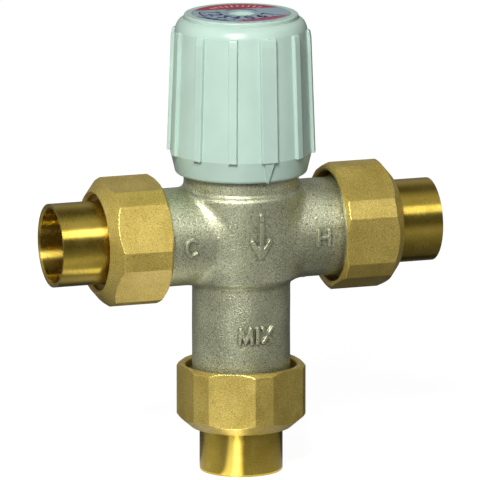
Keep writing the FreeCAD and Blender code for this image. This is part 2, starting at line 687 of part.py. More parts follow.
ROOF = "(knob_shoulder - knob_roof)"
RIM_TOP = "(knob_shoulder + rim_height)"
DISC_FLOOR = "(knob_shoulder + rim_height + disc_proud - disc_thick)"
SCREW_FACE = "(" + SQUARE_TOP + " + screw_floor)"
INSIDE = "(collar_radius + collar_clear)"

adjusting_knob = new_body("adjusting_knob", "mix_drop")
adjusting_knob.setExpression(".Placement.Rotation.Angle", bound("knob_turn"))
cap = turned(adjusting_knob, "cap", [
    ("0", "knob_bottom"),
    ("skirt_radius", "knob_bottom"),
    ("knob_wide", "knob_waist"),
    ("knob_narrow", "knob_shoulder - shoulder_drop"),
    ("knob_narrow - shoulder_step", "knob_shoulder - shoulder_fall"),
    ("rim_outer + rim_sink", "knob_shoulder"),
    ("rim_outer", "knob_shoulder - rim_sink"),
    ("rim_outer", RIM_TOP + " - rim_bevel"),
    ("rim_outer - rim_bevel", RIM_TOP),
    ("disc_radius + disc_gap", RIM_TOP),
    ("disc_radius + disc_gap", DISC_FLOOR),
    ("0", DISC_FLOOR),
])
edge_round = rounded(adjusting_knob, "skirt_edge", cap, "skirt_round",
                     lambda edge: is_ring(edge, "skirt_radius", "knob_bottom"))


def is_shoulder_bend(edge):
    """Whether an edge is one of the two rings that the shoulder bends at."""
    upper = is_ring(edge, "knob_narrow - shoulder_step", "knob_shoulder - shoulder_fall")
    return upper or is_ring(edge, "knob_narrow", "knob_shoulder - shoulder_drop")


rounded(adjusting_knob, "shoulder_edge", edge_round, "shoulder_round", is_shoulder_bend)


def rib_side():
    """Side outline of a rib, from inside the wall out to its leaning crest."""
    return [("knob_narrow - 2", "knob_waist"), ("rib_foot", "knob_waist"),
            ("rib_head", "rib_top - rib_head_fall"), ("rib_head - rib_head_inset", "rib_top"),
            ("knob_narrow - 2", "rib_top")]


def is_rib_head(edge):
    """Whether an edge runs across a rib's crest at its head."""
    middle = edge.BoundBox.Center
    reach = (middle.x ** 2 + middle.y ** 2) ** 0.5
    flat = edge.BoundBox.ZLength < 0.01 and abs(middle.z - amount("rib_top")) < 0.01
    return flat and abs(reach - amount("rib_head - rib_head_inset")) < 0.01


def is_rib_edge(edge):
    """Whether an edge runs up a rib's crest or round its head."""
    spots = [vertex.Point for vertex in edge.Vertexes]
    reaches = [(spot.x ** 2 + spot.y ** 2) ** 0.5 for spot in spots]
    upright = edge.BoundBox.ZLength > amount("rib_head_fall / 2")
    return upright and min(reaches) > amount("rib_head - rib_head_inset")


narrow_side = new_sketch(adjusting_knob, "rib_profile", "XZ_Plane")
outline(narrow_side, rib_side())
narrow = extruded(adjusting_knob, "rib", narrow_side, "rib_width", midplane=True)
ribs = around(adjusting_knob, "ribs", narrow, "rib_count")
wide_side = new_sketch(adjusting_knob, "grip_profile", "XZ_Plane")
outline(wide_side, rib_side())
grip = extruded(adjusting_knob, "grip", wide_side, "grip_width", midplane=True)
heads = rounded(adjusting_knob, "rib_heads", grip, "rib_head_round", is_rib_head)
rounded(adjusting_knob, "rib_edges", heads, "rib_round", is_rib_edge)

pointer_head = new_sketch(adjusting_knob, "pointer_head_profile", "XY_Plane", "knob_waist")
rectangle(pointer_head, INSIDE + " + 1", "knob_wide + pointer_proud", "-pointer_width / 2", "pointer_width / 2")
pointer_point = new_sketch(adjusting_knob, "pointer_point_profile", "XY_Plane", "knob_bottom + 0.1")
rectangle(pointer_point, INSIDE + " + 1", "skirt_radius + pointer_proud", "-pointer_tip / 2", "pointer_tip / 2")
pointer = adjusting_knob.newObject("PartDesign::AdditiveLoft", "adjusting_knob_pointer")
pointer.Profile = pointer_head
pointer.Sections = [pointer_point]
pointer.Ruled = True
document.recompute()

turned(adjusting_knob, "hollow", [
    ("0", "knob_bottom - 1"),
    (INSIDE, "knob_bottom - 1"),
    (INSIDE, ROOF + " - web_thick"),
    (INSIDE + " - web_thick", ROOF),
    ("0", ROOF),
], kind="Groove")
boss_plan = new_sketch(adjusting_knob, "boss_profile", "XY_Plane", CLIP_FOOT + " + clip_thick + boss_clear")
circle(boss_plan, "boss_radius")
extruded(adjusting_knob, "boss", boss_plan, DISC_FLOOR + " - " + CLIP_FOOT + " - clip_thick - boss_clear")
web_side = new_sketch(adjusting_knob, "web_profile", "XZ_Plane")
rectangle(web_side, "boss_radius - 1", INSIDE + " + 0.5", ROOF + " - web_depth", ROOF + " + 0.5")
web = extruded(adjusting_knob, "web", web_side, "web_thick", midplane=True)
around(adjusting_knob, "webs", web, "4")
turned(adjusting_knob, "screw_well", [
    ("0", SCREW_FACE),
    ("screw_well", SCREW_FACE),
    ("screw_well", RIM_TOP + " + 1"),
    ("0", RIM_TOP + " + 1"),
], kind="Groove")
turned(adjusting_knob, "screw_hole", [
    ("0", SQUARE_TOP + " - 1"),
    ("screw_shank + screw_gap", SQUARE_TOP + " - 1"),
    ("screw_shank + screw_gap", SCREW_FACE + " + 1"),
    ("0", SCREW_FACE + " + 1"),
], kind="Groove")
socket_plan = new_sketch(adjusting_knob, "square_profile", "XY_Plane", CLIP_FOOT + " + clip_thick")
half_square = "(stem_square / 2 + square_gap)"
rectangle(socket_plan, "-" + half_square, half_square, "-" + half_square, half_square)
extruded(adjusting_knob, "square", socket_plan, SQUARE_TOP + " + square_gap - " + CLIP_FOOT + " - clip_thick",
         kind="Pocket", backward=True)

dial_disc = new_body("dial_disc", "mix_drop + " + DISC_FLOOR)
dial_disc.setExpression(".Placement.Rotation.Angle", bound("knob_turn"))
turned(dial_disc, "disc", [
    ("screw_well", "0"),
    ("disc_radius", "0"),
    ("disc_radius", "disc_thick"),
    ("screw_well", "disc_thick"),
])

knob_screw = new_body("knob_screw", "mix_drop + " + SCREW_FACE)
knob_screw.setExpression(".Placement.Rotation.Angle", bound("knob_turn"))
turned(knob_screw, "shank", [
    ("0", "-screw_length"),
    ("screw_shank", "-screw_length"),
    ("screw_shank", "0"),
    ("screw_head", "0"),
    ("screw_head", "screw_head_thick * 0.6"),
    ("screw_head * 0.75", "screw_head_thick"),
    ("0", "screw_head_thick"),
])
for side, across, up in (("long", "recess_length / 2", "recess_width / 2"),
                         ("short", "recess_width / 2", "recess_length / 2")):
    slot = new_sketch(knob_screw, side + "_slot_profile", "XY_Plane", "screw_head_thick - recess_depth")
    rectangle(slot, "-" + across, across, "-" + up, up)
    extruded(knob_screw, side + "_slot", slot, "recess_depth", kind="Pocket", backward=True)

# ---------------------------------------------------------------------------------------------
# Unions: the same tailpiece, gasket and nut at each of the three ports.

PORTS = [
    ("cold", FreeCAD.Vector(-1, 0, 0), "cold_nut_turn"),
    ("hot", FreeCAD.Vector(1, 0, 0), "hot_nut_turn"),
    ("mix", FreeCAD.Vector(0, 0, -1), "mix_nut_turn"),
]
FLANGE_FACE = "(tail_length - flange_thick)"
TAIL_RADIUS = "(socket_radius + tail_wall)"
SHOULDER_BACK = "(" + FLANGE_FACE + " - nut_seat_gap)"
NUT_END = "(tail_show + nut_length)"
NUT_BORE = "(stub_radius + thread_gap)"
NUT_FLAT = "(stub_radius + nut_flat_wall)"
NUT_CORNER = "(stub_radius + nut_corner_wall)"


def put_on_port(piece, outward, inward_start="0"):
    """Turns a piece from +Z inward onto a port's axis, its zero at the port's open end."""
    if outward.z != 0:
        piece.setExpression(".Placement.Base.z", bound(inward_start))
        return
    tilt = FreeCAD.Rotation(FreeCAD.Vector(0, 1, 0), -90 * outward.x)
    piece.Placement = FreeCAD.Placement(FreeCAD.Vector(), tilt)
    sign = "" if outward.x > 0 else "-"
    piece.setExpression(".Placement.Base.x", bound(f"{sign}(arm_reach - ({inward_start}))"))
    piece.setExpression(".Placement.Base.z", bound("mix_drop"))


def flat_corners(turn):
    """Corners of the nut's six wide flats, joined by six narrow ones."""
    half = f"sqrt({NUT_CORNER} ^ 2 - {NUT_FLAT} ^ 2)"
    corners = []
    for flat in range(6):
        angle = f"({turn} + {60 * flat})"
        for sign, other in (("+", "-"), ("-", "+")):
            corners.append((f"{NUT_FLAT} * cos{angle} {sign} {half} * sin{angle}",
                            f"{NUT_FLAT} * sin{angle} {other} {half} * cos{angle}"))
    return corners


def is_flat_edge(edge):
    """Whether an edge runs along the nut between two of its flats."""
    reaches = [(vertex.Point.x ** 2 + vertex.Point.y ** 2) ** 0.5 for vertex in edge.Vertexes]
    long = edge.BoundBox.ZLength > amount("nut_length / 2")
    return long and min(reaches) > amount(NUT_CORNER) - 0.01


for port_name, outward, turn in PORTS:
    tailpiece = new_body(port_name + "_tailpiece")
    turned(tailpiece, "tube", [
        ("socket_radius + mouth_chamfer", "0"),
        (TAIL_RADIUS, "0"),
        (TAIL_RADIUS, FLANGE_FACE),
        ("flange_radius", FLANGE_FACE),
        ("flange_radius", "tail_length"),
        ("socket_radius - tube_stop", "tail_length"),
        ("socket_radius - tube_stop", "socket_depth"),
        ("socket_radius", "socket_depth"),
        ("socket_radius", "mouth_chamfer"),
    ])
    put_on_port(tailpiece, outward)

    gasket = new_body(port_name + "_gasket")
    turned(gasket, "ring", [
        ("port_bore", "0"),
        ("flange_radius - gasket_trim", "0"),
        ("flange_radius - gasket_trim", "gasket_thick"),
        ("port_bore", "gasket_thick"),
    ])
    put_on_port(gasket, outward, "tail_length")

    union_nut = new_body(port_name + "_union_nut")
    turned(union_nut, "blank", [
        ("nut_face", "tail_show"),
        (NUT_CORNER, "tail_show + nut_cone"),
        (NUT_CORNER, NUT_END + " - nut_end_bevel"),
        (NUT_CORNER + " - nut_end_chamfer", NUT_END),
        (NUT_BORE + " + nut_lead", NUT_END),
        (NUT_BORE, NUT_END + " - nut_lead"),
        (NUT_BORE, SHOULDER_BACK),
        (TAIL_RADIUS + " + nut_hole_gap", SHOULDER_BACK),
        (TAIL_RADIUS + " + nut_hole_gap", SHOULDER_BACK + " - nut_shoulder"),
        ("nut_mouth", SHOULDER_BACK + " - nut_shoulder"),
        ("nut_mouth", "tail_show + nut_mouth_lead"),
    ])
    flats = new_sketch(union_nut, "flats_profile", "XY_Plane", "tail_show - 1")
    circle(flats, NUT_CORNER + " + 2")
    outline(flats, flat_corners(turn))
    forged = extruded(union_nut, "flats", flats, "nut_length + 2", kind="Pocket", backward=True)
    rounded(union_nut, "edges", forged, "nut_edge_round", is_flat_edge)
    put_on_port(union_nut, outward)

document.recompute()
for item in document.Objects:
    if "Invalid" in item.State or "Error" in item.State:
        raise RuntimeError(f"{item.Label} did not build: {item.State}")
for piece in pieces:
    if piece.Shape.isNull() or not piece.Shape.isValid():
        raise RuntimeError(f"{piece.Label} has no valid shape")
    piece.Shape.exportStep(f"parts/{piece.Label}.step")
    print(piece.Label, round(piece.Shape.Volume, 1), len(piece.Shape.Solids), piece.Shape.BoundBox)
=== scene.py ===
"""Looks of the thermostatic mixing valve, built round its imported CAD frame."""
import bmesh
import bpy
import math
import numpy as np
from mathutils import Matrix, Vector


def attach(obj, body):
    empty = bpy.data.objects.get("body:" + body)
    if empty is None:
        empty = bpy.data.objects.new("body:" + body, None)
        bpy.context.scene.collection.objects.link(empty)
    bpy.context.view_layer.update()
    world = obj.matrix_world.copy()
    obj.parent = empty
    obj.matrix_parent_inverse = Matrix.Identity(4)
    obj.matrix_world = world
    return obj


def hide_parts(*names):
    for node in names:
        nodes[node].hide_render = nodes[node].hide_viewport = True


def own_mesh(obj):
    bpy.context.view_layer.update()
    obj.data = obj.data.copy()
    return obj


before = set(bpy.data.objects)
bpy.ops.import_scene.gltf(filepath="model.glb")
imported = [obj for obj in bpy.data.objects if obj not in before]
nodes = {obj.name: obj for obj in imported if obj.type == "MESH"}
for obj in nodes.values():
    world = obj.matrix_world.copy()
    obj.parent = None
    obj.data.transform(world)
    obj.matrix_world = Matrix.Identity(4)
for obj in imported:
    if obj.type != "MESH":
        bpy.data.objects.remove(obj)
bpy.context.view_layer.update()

AXIS_HEIGHT = 0.0725          # inlet axis over the outlet's open end

# Casting, metres
ARM_RADIUS = 0.01475
NECK_RADIUS = 0.01475
BARREL_LOW, BARREL_TOP = -0.0138, 0.0139          # barrel's ends about the inlet axis
BARREL_LOW_RADIUS, BARREL_TOP_RADIUS = 0.0175, 0.0186
COLLAR_RADIUS = 0.01725
COLLAR_TOP = 0.024
ARM_END, NECK_END = 0.0375, 0.05
STUB_LENGTH = 0.0085
THREAD_ROOT, THREAD_CREST = 0.0151, 0.01658
THREAD_PITCH = 0.002309
PORT_BORE = 0.0113
NUB_CENTRE, NUB_RADIUS = (0.0190, -0.0012, -0.0150), 0.00062      # flash where an arm joins


def linked(name, data):
    """New object of the scene."""
    thing = bpy.data.objects.new(name, data)
    bpy.context.scene.collection.objects.link(thing)
    return thing


# ------------------------------------------------------------------------------------------
# Node trees

def empty_tree(owner):
    """Emptied node tree of a material or world."""
    owner.use_nodes = True
    owner.node_tree.nodes.clear()
    return owner.node_tree


def new_material(name):
    """Material with its tree and its Principled shader, which is linked to the output."""
    material = bpy.data.materials.new(name)
    tree = empty_tree(material)
    output = tree.nodes.new("ShaderNodeOutputMaterial")
    shader = tree.nodes.new("ShaderNodeBsdfPrincipled")
    tree.links.new(shader.outputs["BSDF"], output.inputs["Surface"])
    return material, tree, shader


def put(tree, kind, values=None, **settings):
    """Adds a node, sets its attributes and its inputs' values or links."""
    node = tree.nodes.new(kind)
    for key, value in settings.items():
        setattr(node, key, value)
    for key, value in (values or {}).items():
        if isinstance(value, bpy.types.NodeSocket):
            tree.links.new(value, node.inputs[key])
        else:
            node.inputs[key].default_value = value
    return node


def ramp(tree, source, stops, smooth=False):
    """Colour ramp over a value: stops are (place, colour or grey)."""
    node = put(tree, "ShaderNodeValToRGB", {"Fac": source})
    if smooth:
        node.color_ramp.interpolation = "EASE"
    elements = node.color_ramp.elements
    while len(elements) > 1:
        elements.remove(elements[-1])
    for index, (spot, colour) in enumerate(stops):
        element = elements[0] if index == 0 else elements.new(spot)
        element.position = spot
        grey = not isinstance(colour, (tuple, list))
        element.color = (colour, colour, colour, 1) if grey else (*colour, 1)
    return node.outputs["Color"]


def noise(tree, vector, scale, detail=2.0, rough=0.5):
    values = {"Vector": vector, "Scale": scale, "Detail": detail, "Roughness": rough}
    return put(tree, "ShaderNodeTexNoise", values).outputs["Fac"]


def maths(tree, operation, first, second=0.0, third=0.5):
    return put(tree, "ShaderNodeMath", {0: first, 1: second, 2: third}, operation=operation).outputs[0]


def mixed(tree, share, first, second, blend="MIX"):
    """Two colours mixed by a share."""
    node = put(tree, "ShaderNodeMix", data_type="RGBA", blend_type=blend)
    for socket, value in ((node.inputs[0], share), (node.inputs[6], first), (node.inputs[7], second)):
        if isinstance(value, bpy.types.NodeSocket):
            tree.links.new(value, socket)
        elif isinstance(value, (tuple, list)):
            socket.default_value = (*value, 1)
        else:
            socket.default_value = value
    return node.outputs[2]


def bump(tree, height, strength, distance, normal=None):
    values = {"Height": height, "Strength": strength, "Distance": distance}
    if normal is not None:
        values["Normal"] = normal
    return put(tree, "ShaderNodeBump", values).outputs["Normal"]


def place(tree):
    return put(tree, "ShaderNodeTexCoord").outputs["Object"]


def from_axis(tree, spot):
    """Distance of a point from the upright axis."""
    flat = put(tree, "ShaderNodeVectorMath", {0: spot, 1: (1, 1, 0)}, operation="MULTIPLY").outputs[0]
    return put(tree, "ShaderNodeVectorMath", {0: flat}, operation="LENGTH").outputs["Value"]


def bevelled(tree, radius):
    return put(tree, "ShaderNodeBevel", {"Radius": radius}, samples=4).outputs["Normal"]


# ------------------------------------------------------------------------------------------
# Metals

def finish_blasted(name, dark, light, roughness, grain_scale, grain_depth, speck, metallic, edge, coat,
                   edge_wear_and_highlight, corner_shade):
    """Shot-blasted forging: crisp speckle, soft mottling, edges lightened partly as rubbed wear and partly as a
    painted highlight, and painted shade darkening the corners.
    """
    material, tree, shader = new_material(name)
    spot = place(tree)
    grain = noise(tree, spot, grain_scale, 2.0, 0.7)
    coarse = noise(tree, spot, grain_scale * 0.35, 2.0, 0.5)
    mottle = noise(tree, spot, 110, 4.0, 0.6)
    colour = mixed(tree, ramp(tree, mottle, [(0.35, 0.0), (0.65, 1.0)]), dark, light)
    specks = ramp(tree, grain, [(0.32, speck[0]), (0.48, 0.95), (0.56, 1.0), (0.7, speck[1])])
    colour = mixed(tree, 1.0, colour, specks, blend="MULTIPLY")
    shader.inputs["Metallic"].default_value = metallic
    shader.inputs["Coat Weight"].default_value = coat
    shader.inputs["Coat Roughness"].default_value = 0.22
    spread = ramp(tree, mottle, [(0.3, roughness - 0.05), (0.7, roughness + 0.05)])
    base = bevelled(tree, edge)
    # Painted shade: ambient occlusion darkens the colour in corners, creases and round the raised marks.
    open_air = put(tree, "ShaderNodeAmbientOcclusion", {"Distance": 0.0022}, samples=8).outputs["AO"]
    painted_corner_shade = ramp(tree, open_air, [(0.45, corner_shade), (0.92, 1.0)])
    colour = mixed(tree, 1.0, colour, painted_corner_shade, blend="MULTIPLY")
    # Edges lightened in colour, found by the bevelled normal: partly rubbed wear, partly a painted highlight
    # along the edges.
    facing = put(tree, "ShaderNodeNewGeometry").outputs["Normal"]
    bend = put(tree, "ShaderNodeVectorMath", {0: base, 1: facing}, operation="DOT_PRODUCT").outputs["Value"]
    wear_and_edge_highlight = ramp(tree, bend, [(0.93, edge_wear_and_highlight), (0.995, 0.0)])
    wear_and_highlight_tone = tuple(min(1.0, channel * 1.25) for channel in light)
    tree.links.new(mixed(tree, wear_and_edge_highlight, colour, wear_and_highlight_tone), shader.inputs["Base Color"])
    tree.links.new(mixed(tree, wear_and_edge_highlight, spread, (0.24, 0.24, 0.24)), shader.inputs["Roughness"])
    first = bump(tree, coarse, 0.5, grain_depth * 1.5, base)
    second = bump(tree, grain, 0.8, grain_depth, first)
    tree.links.new(second, shader.inputs["Normal"])
    return material


forged_body = finish_blasted("forged_body", (0.57, 0.59, 0.385), (0.69, 0.71, 0.475), 0.42, 3000, 0.00015,
                             (0.2, 1.5), 0.88, 0.0003, 0.5, 0.25, 0.25)
nut_brass = finish_blasted("nut_brass", (0.66, 0.49, 0.10), (0.78, 0.60, 0.15), 0.46, 3300, 0.00008,
                           (0.5, 1.35), 0.75, 0.0004, 0.3, 0.9, 0.4)


def finish_turned(name, dark, light, roughness, axis, stretch_power):
    """Bright turned brass with fine lathe lines round an axis (X or Z)."""
    material, tree, shader = new_material(name)
    spot = place(tree)
    stretch = [60, 60, 60]
    stretch["XYZ".index(axis)] = 9000
    along = put(tree, "ShaderNodeVectorMath", {0: spot, 1: stretch}, operation="MULTIPLY").outputs[0]
    lines = noise(tree, along, 1.0, 3.0, 0.7)
    cloud = noise(tree, spot, 160, 4.0, 0.6)
    dots = noise(tree, spot, 1800, 1.0, 0.5)
    colour = mixed(tree, ramp(tree, cloud, [(0.35, 0.0), (0.7, 1.0)]), dark, light)
    colour = mixed(tree, 1.0, colour, ramp(tree, dots, [(0.22, 0.45), (0.3, 1.0)]), blend="MULTIPLY")
    shader.inputs["Metallic"].default_value = 1.0
    shader.inputs["Anisotropic"].default_value = stretch_power
    shader.inputs["Anisotropic Rotation"].default_value = 0.25
    tangent = put(tree, "ShaderNodeTangent", direction_type="RADIAL", axis=axis)
    tree.links.new(tangent.outputs[0], shader.inputs["Tangent"])
    tree.links.new(colour, shader.inputs["Base Color"])
    spread = ramp(tree, cloud, [(0.3, roughness - 0.03), (0.7, roughness + 0.05)])
    tree.links.new(spread, shader.inputs["Roughness"])
    base = bevelled(tree, 0.0002)
    tree.links.new(bump(tree, lines, 0.2, 0.000012, base), shader.inputs["Normal"])
    return material


BRASS_DARK, BRASS_LIGHT = (0.59, 0.42, 0.06), (0.69, 0.51, 0.10)
polished_x = finish_turned("polished_brass_arm", BRASS_DARK, BRASS_LIGHT, 0.26, "X", 0.95)
polished_z = finish_turned("polished_brass_outlet", BRASS_DARK, BRASS_LIGHT, 0.26, "Z", 0.95)
machined = finish_turned("machined_brass", (0.58, 0.40, 0.12), (0.68, 0.50, 0.18), 0.28, "Z", 0.5)
element = finish_turned("element_brass", (0.56, 0.30, 0.13), (0.66, 0.40, 0.18), 0.3, "Z", 0.3)
steel = finish_turned("bright_steel", (0.56, 0.56, 0.54), (0.70, 0.70, 0.68), 0.24, "Z", 0.3)


# ------------------------------------------------------------------------------------------
# Plastics, rubber and fibre

def finish_plastic(name, colour, roughness, grain=2200, depth=0.00001, edge=0.0003):
    """Moulded plastic with a faint orange peel and slight cloudiness."""
    material, tree, shader = new_material(name)
    spot = place(tree)
    cloud = noise(tree, spot, 60, 3.0, 0.5)
    peel = noise(tree, spot, grain, 2.0, 0.5)
    darker = tuple(channel * 0.93 for channel in colour)
    tint = mixed(tree, ramp(tree, cloud, [(0.35, 0.0), (0.65, 1.0)]), darker, colour)
    tree.links.new(tint, shader.inputs["Base Color"])
    spread = ramp(tree, cloud, [(0.3, roughness - 0.03), (0.7, roughness + 0.03)])
    tree.links.new(spread, shader.inputs["Roughness"])
    base = bevelled(tree, edge) if edge else None
    tree.links.new(bump(tree, peel, 0.15, depth, base), shader.inputs["Normal"])
    return material


knob_plastic = finish_plastic("knob_plastic", (0.54, 0.72, 0.62), 0.3)
white_plastic = finish_plastic("shuttle_plastic", (0.62, 0.60, 0.52), 0.45)
rubber = finish_plastic("black_rubber", (0.02, 0.02, 0.02), 0.5)
fibre = finish_plastic("fibre_gasket", (0.25, 0.06, 0.04), 0.7, 1200, 0.00003)


DIAL_RADIUS, DIAL_WELL = 0.0146, 0.00425
DIAL_AWAY = Vector((0.333, 0.943, 0))       # side of the dial that the temperature band is on
DIAL_RIGHT = Vector((0.943, -0.333, 0))


def dial_direction(turn):
    """Direction on the dial, in degrees from its right-hand side."""
    angle = math.radians(turn)
    return DIAL_RIGHT * math.cos(angle) + DIAL_AWAY * math.sin(angle)


def beyond(tree, spot, turn, distance):
    """1 where a point of the dial lies past a chord, square to a direction."""
    reach = put(tree, "ShaderNodeVectorMath", {0: spot, 1: dial_direction(turn)}, operation="DOT_PRODUCT")
    return maths(tree, "GREATER_THAN", reach.outputs["Value"], distance)


def finish_dial(name):
    """Printed disc: blue-grey ground with a hot band, a warm and a cold edge."""
    material, tree, shader = new_material(name)
    spot = place(tree)
    cloud = noise(tree, spot, 300, 3.0, 0.6)
    colour = mixed(tree, cloud, (0.27, 0.38, 0.44), (0.36, 0.48, 0.54))
    inked = maths(tree, "LESS_THAN", from_axis(tree, spot), DIAL_RADIUS - 0.0003)
    for turn, distance, ink in ((103, 0.0062, (0.42, 0.006, 0.03)), (303.5, 0.0101, (0.42, 0.06, 0.12)),
                                (235, 0.0123, (0.03, 0.05, 0.16))):
        share = maths(tree, "MULTIPLY", beyond(tree, spot, turn, distance), inked)
        colour = mixed(tree, share, colour, ink)
    tree.links.new(colour, shader.inputs["Base Color"])
    shader.inputs["Roughness"].default_value = 0.32
    tree.links.new(bump(tree, noise(tree, spot, 1500, 2.0), 0.1, 0.00001), shader.inputs["Normal"])
    return material


dial = finish_dial("dial_print")
navy_ink = finish_plastic("navy_ink", (0.035, 0.05, 0.17), 0.35, edge=0)
white_ink = finish_plastic("white_ink", (0.75, 0.45, 0.50), 0.35, edge=0)

LOOKS = {
    "valve_body": forged_body, "bonnet": machined, "bonnet_gasket": fibre, "spring_seat": machined,
    "return_spring": steel, "mixing_shuttle": white_plastic, "shuttle_oring": rubber,
    "wax_element": element, "element_piston": steel, "regulating_nut": machined, "stem": machined,
    "stem_oring_lower": rubber, "stem_oring_upper": rubber, "stem_circlip": steel,
    "adjusting_knob": knob_plastic, "dial_disc": dial, "knob_screw": steel,
}
for port in ("cold", "hot", "mix"):
    LOOKS[port + "_tailpiece"] = polished_z if port == "mix" else polished_x
    LOOKS[port + "_gasket"] = fibre
    LOOKS[port + "_union_nut"] = nut_brass
for name, material in LOOKS.items():
    mesh = nodes[name].data
    mesh.materials.clear()
    mesh.materials.append(material)


# ------------------------------------------------------------------------------------------
# Meshes

def new_piece(name, points, faces, material, body, slot, smooth=True):
    """Mesh object of the part that rides on a body."""
    mesh = bpy.data.meshes.new(name)
    mesh.from_pydata([tuple(point) for point in points], [], [tuple(face) for face in faces])
    mesh.materials.append(material)
    mesh.polygons.foreach_set("use_smooth", [smooth] * len(mesh.polygons))
    mesh.update()
    piece = linked(name, mesh)
    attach(piece, body)
    return piece


def lathe(corners, sides, axis="Z"):
    """Points and quads of a closed profile ring turned about an axis; corners are (radius, along)."""
    points, faces = [], []
    for step in range(sides):
        turn = 2 * math.pi * step / sides
        for radius, along in corners:
            if axis == "Z":
                points.append((radius * math.cos(turn), radius * math.sin(turn), along + AXIS_HEIGHT))
            else:
                points.append((along, radius * math.sin(turn), radius * math.cos(turn) + AXIS_HEIGHT))
    count = len(corners)
    for step in range(sides):
        for index in range(count):
            near = step * count + index
            valve_shadow_by_reach = step * count + (index + 1) % count
            after = (step + 1) % sides * count
            faces.append((near, valve_shadow_by_reach, after + (index + 1) % count, after + index))
    return points, faces


def solid_turn(corners, sides, axis="Z"):
    """Closed solid from an open profile whose first and last corners lie on the axis."""
    points, faces = lathe(corners, sides, axis)
    mesh = bpy.data.meshes.new("turned")
    mesh.from_pydata(points, [], faces)
    work = bmesh.new()
    work.from_mesh(mesh)
    bmesh.ops.remove_doubles(work, verts=work.verts, dist=1e-7)
    bad = [face for face in work.faces if face.calc_area() < 1e-14]
    bmesh.ops.delete(work, geom=bad, context="FACES_ONLY")
    bmesh.ops.recalc_face_normals(work, faces=work.faces)
    work.to_mesh(mesh)
    work.free()
    return linked("turned", mesh)


# ------------------------------------------------------------------------------------------
# Casting: one smooth distance field for the forged outside, cut by the machined voids

def capped(across, along, radius, low, high, edge):
    """Distance to a solid cylinder with rounded rims, from the distance to its axis."""
    side = across - radius
    cap = np.maximum(low - along, along - high)
    inner = np.minimum(np.maximum(side, cap), -edge)
    return inner + np.hypot(np.maximum(side + edge, 0), np.maximum(cap + edge, 0))


def joined(first, second, radius):
    """Union of two distances with a round fillet of a radius."""
    corner = np.hypot(np.maximum(radius - first, 0), np.maximum(radius - second, 0))
    return np.maximum(radius, np.minimum(first, second)) - corner


def casting_distance(points):
    """Distance of points, as rows about the inlet axis, to the forged outside."""
    x, y, z = points.T
    upright = np.hypot(x, y)
    level = np.hypot(y, z)
    swell = (z - BARREL_LOW) / (BARREL_TOP - BARREL_LOW) * (BARREL_TOP_RADIUS - BARREL_LOW_RADIUS)
    barrel = capped(upright - swell, z, BARREL_LOW_RADIUS, BARREL_LOW, BARREL_TOP, 0.0019)
    collar = capped(upright, z, COLLAR_RADIUS, 0.0, COLLAR_TOP, 0.0003)
    neck = capped(upright, z, NECK_RADIUS, STUB_LENGTH - NECK_END, 0.0, 0.0004)
    arms = capped(level, np.abs(x), ARM_RADIUS, -1.0, ARM_END - STUB_LENGTH, 0.0004)
    trunk = joined(barrel, neck, 0.0017)
    trunk = joined(trunk, collar, 0.0004)
    casting = joined(trunk, arms, 0.0019)
    nub = np.linalg.norm(points - np.array(NUB_CENTRE), axis=1) - NUB_RADIUS
    casting = joined(casting, nub, 0.0005)
    wave = np.sin(x * 310 + 1.3) * np.sin(y * 270 + z * 90) + np.sin(z * 350 + x * 120 + 0.4)
    casting = casting - 0.00002 * wave
    for along, start in ((np.abs(x), ARM_END), (-z, NECK_END)):
        across = level if start == ARM_END else upright
        casting = np.minimum(casting, capped(across, along, THREAD_ROOT, start - STUB_LENGTH - 0.0005,
                                             start, 0.0005))
    return casting


def settle(points, distance, rounds=4):
    """Moves points onto the zero of a distance field and gives their normals."""
    step = 0.00002
    for turn in range(rounds + 1):
        value = distance(points)
        slope = np.stack([distance(points + np.eye(3)[axis] * step) - value for axis in range(3)], axis=1)
        length = np.maximum(np.linalg.norm(slope, axis=1), 1e-12)
        normal = slope / length[:, None]
        if turn < rounds:
            points = points - normal * np.clip(value / (length / step), -0.0008, 0.0008)[:, None]
    return points, normal


def apply_modifier(piece, kind, **settings):
    modifier = piece.modifiers.new("work", kind)
    for key, value in settings.items():
        setattr(modifier, key, value)
    graph = bpy.context.evaluated_depsgraph_get()
    mesh = bpy.data.meshes.new_from_object(piece.evaluated_get(graph))
    piece.modifiers.clear()
    piece.data = mesh


def solid_cylinder(radius, low, high, axis, sides=96):
    return solid_turn([(0, low), (radius, low), (radius, high), (0, high)], sides, axis)


def joined_object(name, solids):
    """One object of several solids' meshes."""
    work = bmesh.new()
    for solid in solids:
        work.from_mesh(solid.data)
        bpy.data.objects.remove(solid)
    mesh = bpy.data.meshes.new(name)
    work.to_mesh(mesh)
    work.free()
    return linked(name, mesh)


VOXEL = 0.00055
casting = joined_object("valve_casting", [
    solid_cylinder(BARREL_TOP_RADIUS, BARREL_LOW, BARREL_TOP, "Z"),
    solid_cylinder(COLLAR_RADIUS, 0, COLLAR_TOP, "Z"),
    solid_cylinder(NECK_RADIUS + 0.0002, -NECK_END, 0, "Z"),
    solid_cylinder(ARM_RADIUS + 0.0002, -ARM_END, ARM_END, "X"),
])
apply_modifier(casting, "REMESH", mode="VOXEL", voxel_size=VOXEL, use_smooth_shade=True)
LIFT = np.array([0, 0, AXIS_HEIGHT])


def read_points(mesh):
    flat = np.zeros(len(mesh.vertices) * 3)
    mesh.vertices.foreach_get("co", flat)
    return flat.reshape(-1, 3)


skin, _ = settle(read_points(casting.data) - LIFT, casting_distance)
casting.data.vertices.foreach_set("co", (skin + LIFT).ravel())
casting.data.update()

